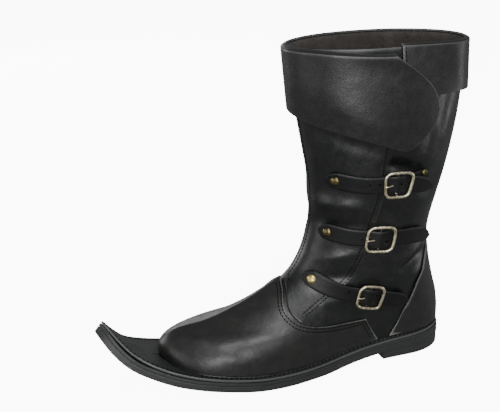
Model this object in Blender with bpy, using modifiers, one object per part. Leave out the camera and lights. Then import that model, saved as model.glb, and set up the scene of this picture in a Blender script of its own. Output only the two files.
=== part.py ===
"""Pointed medieval buckle boot for the left foot, as an assembly of separate solids.

The frame: -X is the toe, +X the back of the heel, -Y the outer side with the buckles,
+Y the inner side, +Z up. The origin is the middle of the heel's flat underside.
"""

import math
from bisect import bisect_right
from collections import namedtuple

import bmesh
import bpy
from mathutils import Vector

# Driving sizes of the foot and the shaft, in metres
FOOT_LENGTH = 0.283        # back of the heel to the front of the vamp
TIP_LENGTH = 0.061         # flat curled point in front of the vamp
BALL_WIDTH = 0.105         # sole across the ball
HEEL_WIDTH = 0.066         # sole across the heel
HEEL_HEIGHT = 0.012        # stacked heel at its back
TOE_SPRING = 0.064         # underside of the point above the floor
TOE_SWING = 0.006          # how far the point leans to the inner side
INSTEP_RISE = 0.080        # top of the instep above the sole
SHAFT_RISE = 0.213         # rim of the shaft above the instep
SHAFT_WIDTH = 0.100        # shaft across at its rim
HEEL_LENGTH = 0.073        # heel block from back to breast

# Thicknesses and clearances, in metres
OUTSOLE = 0.006
MIDSOLE = 0.003
INSOLE = 0.003
WALL = 0.0022              # leather of the upper
PANEL = 0.0016             # leather of the vamp, heel counter and front panel
CUFF = 0.0020              # leather of the turned-down cuff
STRAP = 0.0016             # leather of the buckled straps
ANCHOR = 0.0010            # leather that holds a buckle
GAP = 0.0003               # between pieces that lie on each other
SKIN_GAP = 0.0008          # between curved sheets
CUFF_GAP = 0.0009          # between the shaft and the cuff or the straps
HEEL_LEDGE = 0.004         # sole beyond the upper at the heel
BALL_LEDGE = 0.0055        # sole beyond the upper at the ball
HEEL_INSET = 0.001         # heel block inside the sole's edge
CREST = 0.0015             # soft ridge along the middle of the vamp
CREST_WIDTH = 0.007
CREST_ORDERS = (0.10, 0.20, 0.40, 0.55)   # the ridge fades in and out over these
SHAFT_ORDERS = (0.22, 0.52)               # the foot's shape gives way to the shaft's over these
LEDGE_ALONG = (0.15, 0.50)                # the ledge widens from the heel to the ball over these
GROUND_ORDER = 0.45                       # below this the upper follows the sole's own rise
GROUND_POWER = 1.6

# Straps and buckles, in metres
STRAP_WIDTH = 0.016
BUCKLE_LENGTH = 0.0252     # between the middles of the side bars
BUCKLE_HEIGHT = 0.024      # between the middles of the top and bottom bars
BUCKLE_CORNER = 0.006
BUCKLE_WIRE = 0.0014       # half the thickness of the buckle's frame
BAR_WIRE = 0.0009          # half the thickness of its centre bar
PIN_WIRE = 0.0009
RIVET_RADIUS = 0.0046
RIVET_HEIGHT = 0.0022
RIVET_INSET = 0.0075       # middle of a rivet from the strap's end
BACK_RIVET_RADIUS = 0.0036

# Half widths of the sole, as shares of the ball width, along the whole sole from heel to point
Plan = namedtuple("Plan", "along outer inner")
PLAN = (
    Plan(0.000, 0.305, 0.305),
    Plan(0.200, 0.310, 0.300),
    Plan(0.310, 0.330, 0.290),
    Plan(0.430, 0.405, 0.350),
    Plan(0.530, 0.455, 0.460),
    Plan(0.610, 0.455, 0.500),
    Plan(0.700, 0.435, 0.475),
    Plan(0.785, 0.385, 0.410),
    Plan(0.865, 0.315, 0.320),
    Plan(0.925, 0.235, 0.220),
    Plan(0.965, 0.150, 0.130),
    Plan(0.990, 0.075, 0.060),
    Plan(1.000, 0.000, 0.000),
)
HEEL_ROUND = 0.042         # length over which the sole's heel end is rounded

# Underside of the sole: share of the heel height and share of the toe spring
Lift = namedtuple("Lift", "along heel spring")
LIFT = (
    Lift(0.000, 1.00, 0.00),
    Lift(0.210, 0.67, 0.00),
    Lift(0.295, 0.42, 0.00),
    Lift(0.345, 0.20, 0.00),
    Lift(0.405, 0.00, 0.00),
    Lift(0.565, 0.00, 0.00),
    Lift(0.690, 0.00, 0.085),
    Lift(0.805, 0.00, 0.215),
    Lift(0.875, 0.00, 0.362),
    Lift(0.925, 0.00, 0.500),
    Lift(0.965, 0.00, 0.710),
    Lift(1.000, 0.00, 1.00),
)

# Rings of the upper from the sole to the rim. front is a share of the foot length ahead of the
# heel's back, back a share of the heel width. A rise up to 1 is a share of the instep's rise, and
# what is over 1 is a share of the shaft's. front_round and back_round are shares of the foot
# length over which a ring widens, and width is half the shaft as a share of its width at the rim.
Ring = namedtuple("Ring", "order front front_rise back back_rise front_round back_round width")
RINGS = (
    Ring(0.00, 1.000, 0.000, 0.060, 0.000, 0.140, 0.125, 0.340),
    Ring(0.04, 1.009, 0.075, 0.050, 0.088, 0.155, 0.125, 0.340),
    Ring(0.08, 1.004, 0.175, 0.050, 0.163, 0.210, 0.125, 0.340),
    Ring(0.12, 0.986, 0.260, 0.056, 0.238, 0.300, 0.124, 0.340),
    Ring(0.17, 0.947, 0.345, 0.073, 0.325, 0.400, 0.122, 0.340),
    Ring(0.23, 0.883, 0.400, 0.090, 0.410, 0.490, 0.120, 0.345),
    Ring(0.30, 0.795, 0.530, 0.136, 0.525, 0.530, 0.125, 0.350),
    Ring(0.37, 0.700, 0.705, 0.180, 0.650, 0.500, 0.135, 0.355),
    Ring(0.43, 0.622, 0.860, 0.220, 0.775, 0.430, 0.150, 0.360),
    Ring(0.48, 0.569, 1.000, 0.250, 0.890, 0.350, 0.170, 0.370),
    Ring(0.53, 0.530, 1.075, 0.276, 1.020, 0.290, 0.195, 0.375),
    Ring(0.60, 0.496, 1.207, 0.258, 1.113, 0.240, 0.215, 0.385),
    Ring(0.68, 0.489, 1.366, 0.135, 1.263, 0.226, 0.226, 0.410),
    Ring(0.78, 0.512, 1.563, -0.035, 1.455, 0.254, 0.254, 0.450),
    Ring(0.88, 0.540, 1.750, -0.155, 1.660, 0.285, 0.285, 0.485),
    Ring(1.00, 0.572, 2.000, -0.227, 1.940, 0.312, 0.312, 0.500),
)

# Seams of the vamp, edge of the heel counter and free edge of the front panel
Seam = namedtuple("Seam", "turn order")
VAMP_SEAM = (
    Seam(0.00, 0.460),
    Seam(0.10, 0.440),
    Seam(0.18, 0.405),
    Seam(0.26, 0.355),
    Seam(0.34, 0.300),
    Seam(0.40, 0.255),
    Seam(0.48, 0.208),
    Seam(0.55, 0.172),
    Seam(0.66, 0.150),
)
WING_FOOT = 0.658          # turn of the vamp's back edge at the sole
WING_LEAN = 0.30           # how much that edge leans forward with the order

Edge = namedtuple("Edge", "order turn")
COUNTER_EDGE = (
    Edge(0.00, 0.680),
    Edge(0.10, 0.712),
    Edge(0.27, 0.733),
    Edge(0.40, 0.745),
    Edge(0.46, 0.765),
    Edge(0.50, 0.815),
    Edge(0.53, 0.890),
    Edge(0.545, 0.960),
)
PANEL_EDGE = (
    Edge(0.25, 0.383),
    Edge(0.40, 0.390),
    Edge(0.46, 0.405),
    Edge(0.56, 0.415),
    Edge(0.63, 0.428),
    Edge(0.70, 0.448),
    Edge(0.79, 0.465),
    Edge(1.00, 0.475),
)
PANEL_SKIVE = 0.10         # turn over which the front panel thins out towards the front seam
WINDOW_ORDER = 0.52        # the front panel alone is the wall above this
WINDOW_TURN = (0.05, 0.23)
TUCK = 0.022               # how far the underlap and the back panel lean in at the rim
TUCK_ORDER = 0.80          # where that lean starts
TUCK_TURN = (0.15, 0.50, 0.86)
RIM_DIP = 0.004            # how far the front panel's rim drops towards its free edge
DIP_TURN = (0.15, 0.48)

# Turned-down cuff: its lower edge, and the free end of its flap
Hem = namedtuple("Hem", "turn order")
CUFF_HEM = (
    Hem(-0.517, 0.8050),
    Hem(-0.495, 0.8070),
    Hem(-0.455, 0.8145),
    Hem(-0.342, 0.834),
    Hem(-0.167, 0.858),
    Hem(0.000, 0.878),
    Hem(0.250, 0.888),
    Hem(0.500, 0.895),
    Hem(1.000, 0.912),
    Hem(1.200, 0.915),
    Hem(1.465, 0.902),
)
FLAP_END = (
    Edge(0.8050, 0.517),
    Edge(0.8075, 0.533),
    Edge(0.817, 0.558),
    Edge(0.838, 0.600),
    Edge(0.865, 0.634),
    Edge(0.895, 0.648),
    Edge(0.922, 0.636),
    Edge(0.946, 0.606),
    Edge(0.978, 0.538),
    Edge(1.000, 0.475),
)
FLAP_START = 0.25          # turn where the flap's outline begins to swing back

# Middle lines of the three straps on the outer side, from the front rivet to the tail's tip
Way = namedtuple("Way", "share order turn")
Fastening = namedtuple("Fastening", "way buckle tail_point anchor_end anchor_lift")
STRAP_SETS = {
    "top": Fastening((
        Way(0.00, 0.733, 0.180),
        Way(0.40, 0.724, 0.375),
        Way(0.62, 0.729, 0.505),
        Way(1.00, 0.716, 0.690)), 0.610, 0.016, 0.034, 0.0078),
    "middle": Fastening((
        Way(0.00, 0.612, 0.144),
        Way(0.38, 0.600, 0.372),
        Way(0.60, 0.598, 0.515),
        Way(0.80, 0.597, 0.660),
        Way(1.00, 0.577, 0.815)), 0.465, 0.022, 0.030, 0.0),
    "bottom": Fastening((
        Way(0.00, 0.498, 0.160),
        Way(0.25, 0.458, 0.300),
        Way(0.50, 0.397, 0.465),
        Way(0.75, 0.340, 0.600),
        Way(1.00, 0.265, 0.718)), 0.600, 0.012, 0.026, 0.0),
}

FLAP_LAST = 0.517          # turn of the flap's lowest corner
CUFF_FLARE = 0.0035        # how far the cuff stands off at its lower edge
FLAP_FLARE = 0.0010
SEAM_MARGIN = 0.011        # order between a panel's edge and its neighbour
FOOT_MARGIN = 0.017        # order where the vamp and the counter start above the sole
SKIVE_EDGE = 0.0005        # thinnest leather at a skived edge

INSOLE_ORDER = 0.0         # order of the upper whose inside the insole fits

# How finely the curved pieces are divided
SOLE_STATIONS = 46
HEEL_STATIONS = 16
UPPER_COLUMNS = 36
WING_COLUMN = 12           # the upper's column where the vamp ends and the counter starts
CUFF_ROWS = 9
UPPER_ORDERS = (0.0, 0.025, 0.05, 0.08, 0.12, 0.16, 0.205, 0.25, 0.30, 0.345, 0.39, 0.43, 0.465,
                0.50, 0.53, 0.56, 0.60, 0.64, 0.68, 0.725, 0.77, 0.815, 0.86, 0.91, 0.955, 1.0)

BACK = HEEL_WIDTH / 2
SOLE_LENGTH = FOOT_LENGTH + TIP_LENGTH
SEAT = OUTSOLE + GAP + MIDSOLE + 2 * GAP


def smooth_curve(places, values):
    """A smooth curve through the values, which never overshoots them."""
    steps = [(values[i + 1] - values[i]) / (places[i + 1] - places[i])
             for i in range(len(places) - 1)]
    middles = [2 * a * b / (a + b) if a * b > 0 else 0.0 for a, b in zip(steps, steps[1:])]
    slopes = [steps[0]] + middles + [steps[-1]]

    def read(place):
        place = min(max(place, places[0]), places[-1])
        i = min(bisect_right(places, place) - 1, len(steps) - 1)
        width = places[i + 1] - places[i]
        s = (place - places[i]) / width
        rise = values[i + 1] - values[i]
        bend_in = slopes[i] * width - rise
        bend_out = slopes[i + 1] * width - rise
        return values[i] + rise * s + s * (1 - s) * (bend_in * (1 - s) - bend_out * s)

    return read


def column(rows, name, size=1.0):
    """A smooth curve through one column of a table, at a size."""
    return smooth_curve([row[0] for row in rows], [getattr(row, name) * size for row in rows])


def ease(value, low, high):
    """0 below low, 1 above high, and a smooth step between."""
    s = min(max((value - low) / (high - low), 0.0), 1.0)
    return s * s * (3 - 2 * s)


def round_end(distance, radius):
    """Width share of a rounded end at a distance from its very end."""
    s = min(max(distance / radius, 0.0), 1.0)
    return math.sqrt(1 - (1 - s) ** 2)


plan_outer = column(PLAN, "outer", BALL_WIDTH)
plan_inner = column(PLAN, "inner", BALL_WIDTH)
lift_heel = column(LIFT, "heel", HEEL_HEIGHT)
lift_spring = column(LIFT, "spring", TOE_SPRING)


def along_of(x):
    return (BACK - x) / SOLE_LENGTH


def centre_line(x):
    """The sole's middle line, which leans to the inner side towards the point."""
    forward = max(along_of(x) - 0.4, 0.0) / 0.6
    return TOE_SWING * forward ** 2


def sole_half(x, side):
    """Half width of the sole at x, on the outer side (-1) or the inner side (+1)."""
    return plan_outer(along_of(x)) if side < 0 else plan_inner(along_of(x))


def sole_edge(x, side, inset=0.0):
    """The sole's edge at x, with its round heel."""
    half = sole_half(x, side) * round_end(BACK - x, HEEL_ROUND)
    return centre_line(x) + side * max(half - inset, 0.0)


def underside(x):
    along = along_of(x)
    return lift_heel(along) + lift_spring(along)


def sole_slope(x):
    step = 0.001
    return (underside(x + step) - underside(x - step)) / (2 * step)


def on_sole(x, y, level):
    """A point at a level above the sole's underside, square to it."""
    slope = sole_slope(x)
    length = math.hypot(1.0, slope)
    return Vector((x - level * slope / length, y, underside(x) + level / length))


def top_of_sole(x):
    """Height of the turned-out edge of the upper, which lies on the midsole."""
    return underside(x) + (SEAT + WALL) * math.hypot(1.0, sole_slope(x))


def rise_to_metres(rise):
    return min(rise, 1.0) * INSTEP_RISE + max(rise - 1.0, 0.0) * SHAFT_RISE


ORDERS = [ring.order for ring in RINGS]
FRONT_X = [BACK - ring.front * FOOT_LENGTH for ring in RINGS]
BACK_X = [BACK - ring.back * HEEL_WIDTH for ring in RINGS]
front_x = smooth_curve(ORDERS, FRONT_X)
back_x = smooth_curve(ORDERS, BACK_X)
front_z = smooth_curve(ORDERS, [top_of_sole(x) + rise_to_metres(ring.front_rise)
                                for x, ring in zip(FRONT_X, RINGS)])
back_z = smooth_curve(ORDERS, [top_of_sole(x) + rise_to_metres(ring.back_rise)
                               for x, ring in zip(BACK_X, RINGS)])
front_round = column(RINGS, "front_round", FOOT_LENGTH)
back_round = column(RINGS, "back_round", FOOT_LENGTH)
shaft_half = column(RINGS, "width", SHAFT_WIDTH)


def ledge(x):
    """How far the sole stands out beyond the upper."""
    return HEEL_LEDGE + (BALL_LEDGE - HEEL_LEDGE) * ease(along_of(x), *LEDGE_ALONG)


def tuck_in(order, turn):
    """How far the back panel and its underlap lean in, behind the front panel."""
    if turn > -TUCK_TURN[0]:
        return 0.0
    return TUCK * ease(order, TUCK_ORDER, 1.0) * (1 - ease(-turn, TUCK_TURN[1], TUCK_TURN[2]))


def skin_point(order, turn, tucked=False):
    """A point of the upper's outer surface.

    order runs from 0 at the sole to 1 at the rim. turn is 0 at the front, -0.5 on the outer
    side, 0.5 on the inner side and 1 or -1 at the back. The upper itself is tucked in behind
    the front panel, and what lies outside the front panel is not.
    """
    if turn > 1:
        turn -= 2
    if turn < -1:
        turn += 2
    side = -1 if turn < 0 else 1
    share = (1 - math.cos(math.pi * abs(turn))) / 2
    fx, bx = front_x(order), back_x(order)
    x = fx + share * (bx - fx)
    level = top_of_sole(fx) + share * (top_of_sole(bx) - top_of_sole(fx))
    fade = max(1 - order / GROUND_ORDER, 0.0) ** GROUND_POWER
    z = front_z(order) + share * (back_z(order) - front_z(order))
    z += fade * (top_of_sole(x) - level)
    foot = sole_half(x, side) - ledge(x)
    body = foot + (shaft_half(order) - foot) * ease(order, *SHAFT_ORDERS)
    y = body * round_end(x - fx, front_round(order)) * round_end(bx - x, back_round(order))
    crest = ease(order, *CREST_ORDERS[:2]) * (1 - ease(order, *CREST_ORDERS[2:]))
    crest *= math.exp(-y / CREST_WIDTH)
    y *= side
    if tucked:
        y += tuck_in(order, turn)
    else:
        z -= RIM_DIP * ease(order, TUCK_ORDER, 1.0) * ease(-turn, *DIP_TURN)
    return Vector((x, y + centre_line(x), z + CREST * crest))


def skin(order, turn, level=0.0, tucked=False):
    """A point at a level outside the upper's outer surface, square to it."""
    step = 0.002
    low, high = max(order - step, 0.0), min(order + step, 1.0)
    point = skin_point(order, turn, tucked)
    if level == 0.0:
        return point
    up = skin_point(high, turn, tucked) - skin_point(low, turn, tucked)
    ahead, behind = skin_point(order, turn + step, tucked), skin_point(order, turn - step, tucked)
    return point + up.cross(ahead - behind).normalized() * level


# Materials

def material(name, colour, roughness, metallic=0.0):
    made = bpy.data.materials.new(name)
    made.use_nodes = True
    shader = made.node_tree.nodes["Principled BSDF"]
    shader.inputs["Base Color"].default_value = (*colour, 1.0)
    shader.inputs["Roughness"].default_value = roughness
    shader.inputs["Metallic"].default_value = metallic
    made.diffuse_color = (*colour, 1.0)
    return made


# Building blocks

def add_object(name, mesh, surface):
    mesh.materials.append(surface)
    made = bpy.data.objects.new(name, mesh)
    bpy.data.collections["pointed_boot"].objects.link(made)
    return made


def mesh_of(name, rows, closed=False, other_rows=None):
    """Faces between rows of points, where a None leaves an opening.

    Rows run upward and each row runs forward on the outer side, so that the faces point out.
    With other_rows, a second surface lies on the outside, and the two are joined at their rims.
    """
    shape = bmesh.new()
    lower = [[shape.verts.new(point) for point in row] for row in rows]
    surfaces = [lower]
    if other_rows:
        upper = [[shape.verts.new(point) for point in row] for row in other_rows]
        surfaces.append(upper)
    last = len(rows) - 1
    width = len(rows[0]) - 1
    for k, grid in enumerate(surfaces):
        inward = other_rows is not None and k == 0
        for i in range(last):
            for j in range(width + (1 if closed else 0)):
                n = (j + 1) % (width + 1)
                face = [grid[i][j], grid[i + 1][j], grid[i + 1][n], grid[i][n]]
                shape.faces.new(reversed(face) if inward else face)
    if other_rows:
        rim = [(0, j) for j in range(width)] + [(i, width) for i in range(last)]
        rim += [(last, j) for j in range(width, 0, -1)] + [(i, 0) for i in range(last, 0, -1)]
        for (i, j), (m, n) in zip(rim, rim[1:] + rim[:1]):
            shape.faces.new([lower[i][j], upper[i][j], upper[m][n], lower[m][n]])
    bmesh.ops.remove_doubles(shape, verts=shape.verts, dist=0.000005)
    mesh = bpy.data.meshes.new(name)
    shape.to_mesh(mesh)
    shape.free()
    mesh.shade_smooth()
    return mesh


def cut_window(mesh, rows, columns, width):
    """Takes out the faces of a closed sheet in a block of rows and columns."""
    shape = bmesh.new()
    shape.from_mesh(mesh)
    shape.faces.ensure_lookup_table()
    gone = [shape.faces[i * width + j] for i in rows for j in columns]
    bmesh.ops.delete(shape, geom=gone, context="FACES")
    shape.to_mesh(mesh)
    shape.free()


def add_leather(name, rows, thickness, surface, closed=False, inward=False):
    """A sheet of leather: an open surface with a thickness."""
    made = add_object(name, mesh_of(name, rows, closed), surface)
    thicken(made, thickness, inward)
    return made


def thicken(made, thickness, inward=False):
    solid = made.modifiers.new("thickness", "SOLIDIFY")
    solid.thickness = thickness
    solid.offset = -1.0 if inward else 1.0
    solid.use_even_offset = True
    solid.use_quality_normals = True


def add_wire(name, points, radius, surface, cyclic=False, sides=1):
    """A round wire through points, as a mesh."""
    line = bpy.data.curves.new(name, "CURVE")
    line.dimensions = "3D"
    line.bevel_depth = radius
    line.bevel_resolution = sides
    line.use_fill_caps = not cyclic
    spline = line.splines.new("POLY")
    spline.points.add(len(points) - 1)
    for target, point in zip(spline.points, points):
        target.co = (*point, 1.0)
    spline.use_cyclic_u = cyclic
    guide = bpy.data.objects.new(name + "_line", line)
    bpy.context.scene.collection.objects.link(guide)
    evaluated = guide.evaluated_get(bpy.context.evaluated_depsgraph_get())
    mesh = bpy.data.meshes.new_from_object(evaluated)
    bpy.data.objects.remove(guide)
    shape = bmesh.new()
    shape.from_mesh(mesh)
    bmesh.ops.remove_doubles(shape, verts=shape.verts, dist=0.000005)
    shape.to_mesh(mesh)
    shape.free()
    mesh.materials.clear()
    return add_object(name, mesh, surface)


def spread(low, high, count):
    return [low + (high - low) * k / (count - 1) for k in range(count)]


def grid_orders(low, high):
    """The upper's rows between two orders, with both of them."""
    return [low] + [order for order in UPPER_ORDERS if low < order < high] + [high]


def grid_turns(first, last):
    """The upper's columns from one to another, counted from its front."""
    return [2 * k / UPPER_COLUMNS for k in range(first, last + 1)]


# Sole

def sole_stations(count, start, end):
    """Places along the sole, closer together at both ends."""
    return [start + (end - start) * (1 - math.cos(math.pi * k / (count - 1))) / 2
            for k in range(count)]


def sole_layer(level, stations, inset=0.0):
    """A level of the sole as rows from the inner edge to the outer edge."""
    rows = []
    for side_share in spread(1.0, 0.0, 3):
        row = []
        for x in reversed(stations):
            inner, outer = sole_edge(x, 1, inset), sole_edge(x, -1, inset)
            row.append(on_sole(x, outer + (inner - outer) * side_share, level))
        rows.append(row)
    return rows


def build_sole(surface, cork):
    stations = sole_stations(SOLE_STATIONS, BACK, BACK - SOLE_LENGTH)
    for name, level, thickness in (("outsole", 0.0, OUTSOLE), ("midsole", OUTSOLE + GAP, MIDSOLE)):
        lower = sole_layer(level, stations)
        upper = sole_layer(level + thickness, stations)
        add_object(name, mesh_of(name, lower, other_rows=upper), surface)

    block = sole_stations(HEEL_STATIONS, BACK - HEEL_INSET, BACK - HEEL_LENGTH)
    top = [[point - Vector((0, 0, GAP)) for point in row]
           for row in sole_layer(0.0, block, HEEL_INSET)]
    bottom = [[Vector((point.x, point.y, 0.0)) for point in row] for row in top]
    add_object("heel", mesh_of("heel", bottom, other_rows=top), surface)

    inside = WALL + 2 * SKIN_GAP
    columns = list(reversed(grid_turns(0, UPPER_COLUMNS // 2)))
    lower, upper = [], []
    for side_share in spread(1.0, 0.0, 3):
        places = []
        for turn in columns:
            inner = skin(INSOLE_ORDER, turn, -inside)
            outer = skin(INSOLE_ORDER, -turn, -inside)
            places.append(outer.lerp(inner, side_share))
        lower.append([on_sole(place.x, place.y, SEAT) for place in reversed(places)])
        upper.append([on_sole(place.x, place.y, SEAT + INSOLE) for place in reversed(places)])
    add_object("insole", mesh_of("insole", lower, other_rows=upper), cork)


# Upper

def ledge_point(share_out, turn):
    """A point of the upper's turned-out edge, from the upper's foot to the sole's edge."""
    side = -1 if turn < 0 else 1
    foot = skin_point(0.0, turn)
    share = (1 - math.cos(math.pi * abs(turn))) / 2
    x = foot.x - (front_x(0.0) - (BACK - SOLE_LENGTH)) * (1 - share) ** 6
    x += (BACK - back_x(0.0)) * share ** 6
    edge_y = sole_edge(x, side)
    point = foot.lerp(Vector((x, edge_y, 0.0)), share_out)
    return on_sole(point.x, point.y, SEAT + WALL)


def build_upper(surface):
    turns = [-1 + 2 * k / UPPER_COLUMNS for k in range(UPPER_COLUMNS)]
    rows = [[ledge_point(share, turn) for turn in turns] for share in (1.0, 0.67, 0.33)]
    rows += [[skin_point(order, turn, tucked=True) for turn in turns] for order in UPPER_ORDERS]
    mesh = mesh_of("upper", rows, closed=True)
    ledge_rows = len(rows) - len(UPPER_ORDERS)
    first = ledge_rows + bisect_right(UPPER_ORDERS, WINDOW_ORDER)
    inside = [j for j, turn in enumerate(turns)
              if -WINDOW_TURN[1] < turn and turn + 2 / UPPER_COLUMNS < -WINDOW_TURN[0]]
    cut_window(mesh, range(first, len(rows) - 1), inside, UPPER_COLUMNS)
    made = add_object("upper", mesh, surface)
    thicken(made, WALL, inward=True)


vamp_seam = column(VAMP_SEAM, "order")
counter_edge = column(COUNTER_EDGE, "turn")
panel_edge = column(PANEL_EDGE, "turn")
cuff_hem = column(CUFF_HEM, "order")
flap_end = column(FLAP_END, "turn")


def build_vamp(surface):
    rows = []
    for row_order in grid_orders(FOOT_MARGIN, vamp_seam(0.0)):
        row = []
        for turn in grid_turns(-WING_COLUMN, WING_COLUMN):
            order = min(row_order, vamp_seam(abs(turn)))
            edge = WING_FOOT - WING_LEAN * order
            row.append(skin(order, min(max(turn, -edge), edge), SKIN_GAP))
        rows.append(row)
    add_leather("vamp", rows, PANEL, surface)


def build_counter(surface):
    rows = []
    for order in grid_orders(FOOT_MARGIN, COUNTER_EDGE[-1].order):
        edge = counter_edge(order)
        turns = grid_turns(WING_COLUMN, UPPER_COLUMNS - WING_COLUMN)
        rows.append([skin(order, min(max(turn, edge), 2 - edge), SKIN_GAP) for turn in turns])
    add_leather("heel_counter", rows, PANEL, surface)


def build_front_panel(surface):
    lower, upper = [], []
    for row_order in grid_orders(vamp_seam(panel_edge(0.0)), 1.0):
        inner_row, outer_row = [], []
        for column_turn in reversed(grid_turns(0, UPPER_COLUMNS // 4)):
            turn = min(column_turn, panel_edge(row_order))
            order = max(row_order, vamp_seam(turn) + SEAM_MARGIN)
            turn = min(column_turn, panel_edge(order))
            skived = SKIVE_EDGE + (PANEL - SKIVE_EDGE) * ease(turn, 0.0, PANEL_SKIVE)
            inner_row.append(skin(order, -turn, SKIN_GAP))
            outer_row.append(skin(order, -turn, SKIN_GAP + skived))
        lower.append(inner_row)
        upper.append(outer_row)
    add_object("front_panel", mesh_of("front_panel", lower, other_rows=upper), surface)


def cuff_column(turn):
    """Order and turn down one column of the cuff, from the rim to its lower edge."""
    places = []
    for share in [math.sin(math.pi / 2 * part) for part in spread(0.0, 1.0, CUFF_ROWS)]:
        at = turn
        if turn < -FLAP_START:
            swing = (-turn - FLAP_START) / (FLAP_LAST - FLAP_START)
            end_order = 1.0 - share * (1.0 - cuff_hem(-FLAP_LAST))
            at = -FLAP_START - swing * (flap_end(end_order) - FLAP_START)
        places.append((1.0 - share * (1.0 - cuff_hem(turn)), at))
    return places


def build_cuff(surface):
    """The cuff covers the rim from its inner edge and hangs down outside, as one sheet."""
    flap_turns = spread(-FLAP_LAST, -FLAP_START, 11)
    ring_turns = spread(-FLAP_START, CUFF_HEM[-1].turn, 27)[1:]
    columns = []
    for turn in flap_turns + ring_turns:
        places = cuff_column(turn)
        rim, low = places[0][1], places[-1][0]
        tucked = turn > 1.0
        over = CUFF_GAP + (PANEL + SKIN_GAP) * (1 - ease(turn, -0.02, 0.10))
        flare = FLAP_FLARE + (CUFF_FLARE - FLAP_FLARE) * ease(turn, -0.30, 0.0)
        rim_in = skin(1.0, rim, -WALL, tucked)
        rim_out = skin(1.0, rim, over, tucked)
        up = skin_point(1.0, rim, tucked) - skin_point(0.98, rim, tucked)
        lift = up.normalized() * CUFF_GAP
        points = [rim_in + lift, rim_out.lerp(rim_in, 0.35) + lift, rim_out + lift * 0.3]
        for order, at in places[1:]:
            points.append(skin(order, at, over + flare * (1.0 - order) / (1.0 - low), tucked))
        columns.append(points)
    rows = [[points[i] for points in columns] for i in range(len(columns[0]))]
    add_leather("cuff", list(reversed(rows)), CUFF, surface)


# Straps and buckles

def strap_route(way):
    """The length of a strap, and a function from its own measures to a point.

    The function takes the distance from the strap's front end, the distance up across it and
    the level above the upper.
    """
    order_at, turn_at = column(way, "order"), column(way, "turn")
    shares = spread(0.0, 1.0, 61)
    line = [skin_point(order_at(share), -turn_at(share)) for share in shares]
    lengths = [0.0]
    for a, b in zip(line, line[1:]):
        lengths.append(lengths[-1] + (b - a).length)
    share_at = smooth_curve(lengths, shares)

    def place(distance, across, level):
        step = 0.002
        share = min(max(share_at(distance), step), 1 - step)
        order, turn = order_at(share), -turn_at(share)
        ahead = skin_point(order_at(share + step), -turn_at(share + step))
        behind = skin_point(order_at(share - step), -turn_at(share - step))
        along = (ahead - behind).normalized()
        by_order = (skin_point(order + step, turn) - skin_point(order - step, turn)) / (2 * step)
        by_turn = (skin_point(order, turn + step) - skin_point(order, turn - step)) / (2 * step)
        normal = by_order.cross(by_turn).normalized()
        move = normal.cross(along) * across
        past = distance - min(max(distance, lengths[1]), lengths[-2])
        move += along * past
        a, b, c = by_order.dot(by_order), by_order.dot(by_turn), by_turn.dot(by_turn)
        u, v = by_order.dot(move), by_turn.dot(move)
        scale = a * c - b * b
        return skin(order + (c * u - b * v) / scale, turn + (a * v - b * u) / scale, level)

    return lengths[-1], place


STRAP_LEVEL = SKIN_GAP + PANEL + CUFF_GAP
BAR_LEVEL = SKIN_GAP + ANCHOR + GAP + BAR_WIRE
LOOP_TOP = BAR_LEVEL + BAR_WIRE + GAP + ANCHOR
FRAME_LEVEL = STRAP_LEVEL + STRAP + GAP + BUCKLE_WIRE
BUMP_REACH = BUCKLE_LENGTH / 2 - BUCKLE_WIRE - 0.0022


def strap_level(from_buckle):
    """Underside of a strap, which runs under the side bars and over the centre bar."""
    if abs(from_buckle) >= BUMP_REACH:
        return STRAP_LEVEL
    bump = math.cos(math.pi * from_buckle / (2 * BUMP_REACH)) ** 2
    return STRAP_LEVEL + (LOOP_TOP + GAP - STRAP_LEVEL) * bump


def build_strap(name, length, place, buckle, tail_point, surface):
    half = STRAP_WIDTH / 2
    stops = [half * share for share in (0.0, 0.04, 0.15, 0.35, 0.65, 1.0)]
    stops += spread(half, buckle - BUMP_REACH, 7)[1:]
    stops += spread(buckle - BUMP_REACH, buckle + BUMP_REACH, 9)[1:]
    stops += spread(buckle + BUMP_REACH, length - tail_point, 3)[1:]
    stops += [length - tail_point * share for share in (0.75, 0.5, 0.28, 0.1, 0.0)]
    rows = []
    for side in (-1.0, 0.0, 1.0):
        row = []
        for stop in reversed(stops):
            width = half * round_end(stop, half)
            tail = min((length - stop) / tail_point, 1.0)
            width *= math.sin(math.pi / 2 * tail) ** 0.6
            row.append(place(stop, side * width, strap_level(stop - buckle)))
        rows.append(row)
    add_leather("strap_" + name, rows, STRAP, surface)


def build_anchor(name, place, buckle, end, lift, surface):
    """The short leather that is turned round the centre bar and runs back under the tail."""
    half = STRAP_WIDTH / 2 - 0.0006
    inner = BAR_WIRE + GAP
    path = [(end * share, SKIN_GAP + ANCHOR) for share in (1.0, 0.97, 0.9, 0.75, 0.5, 0.25, 0.0)]
    for angle in (-60, -30, 0, 30, 60, 90):
        a = math.radians(angle)
        path.append((-inner * math.cos(a), BAR_LEVEL + inner * math.sin(a)))
    path.append((inner * 1.6, BAR_LEVEL + inner * 0.9))
    rows = []
    for side in (-1.0, 0.0, 1.0):
        row = []
        for distance, level in path:
            width = half * round_end(end - distance, half)
            shift = lift * ease(distance, 0.004, end)
            row.append(place(buckle + distance, shift + side * width, level))
        rows.append(row)
    add_leather("anchor_" + name, rows, ANCHOR, surface, inward=True)


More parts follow.
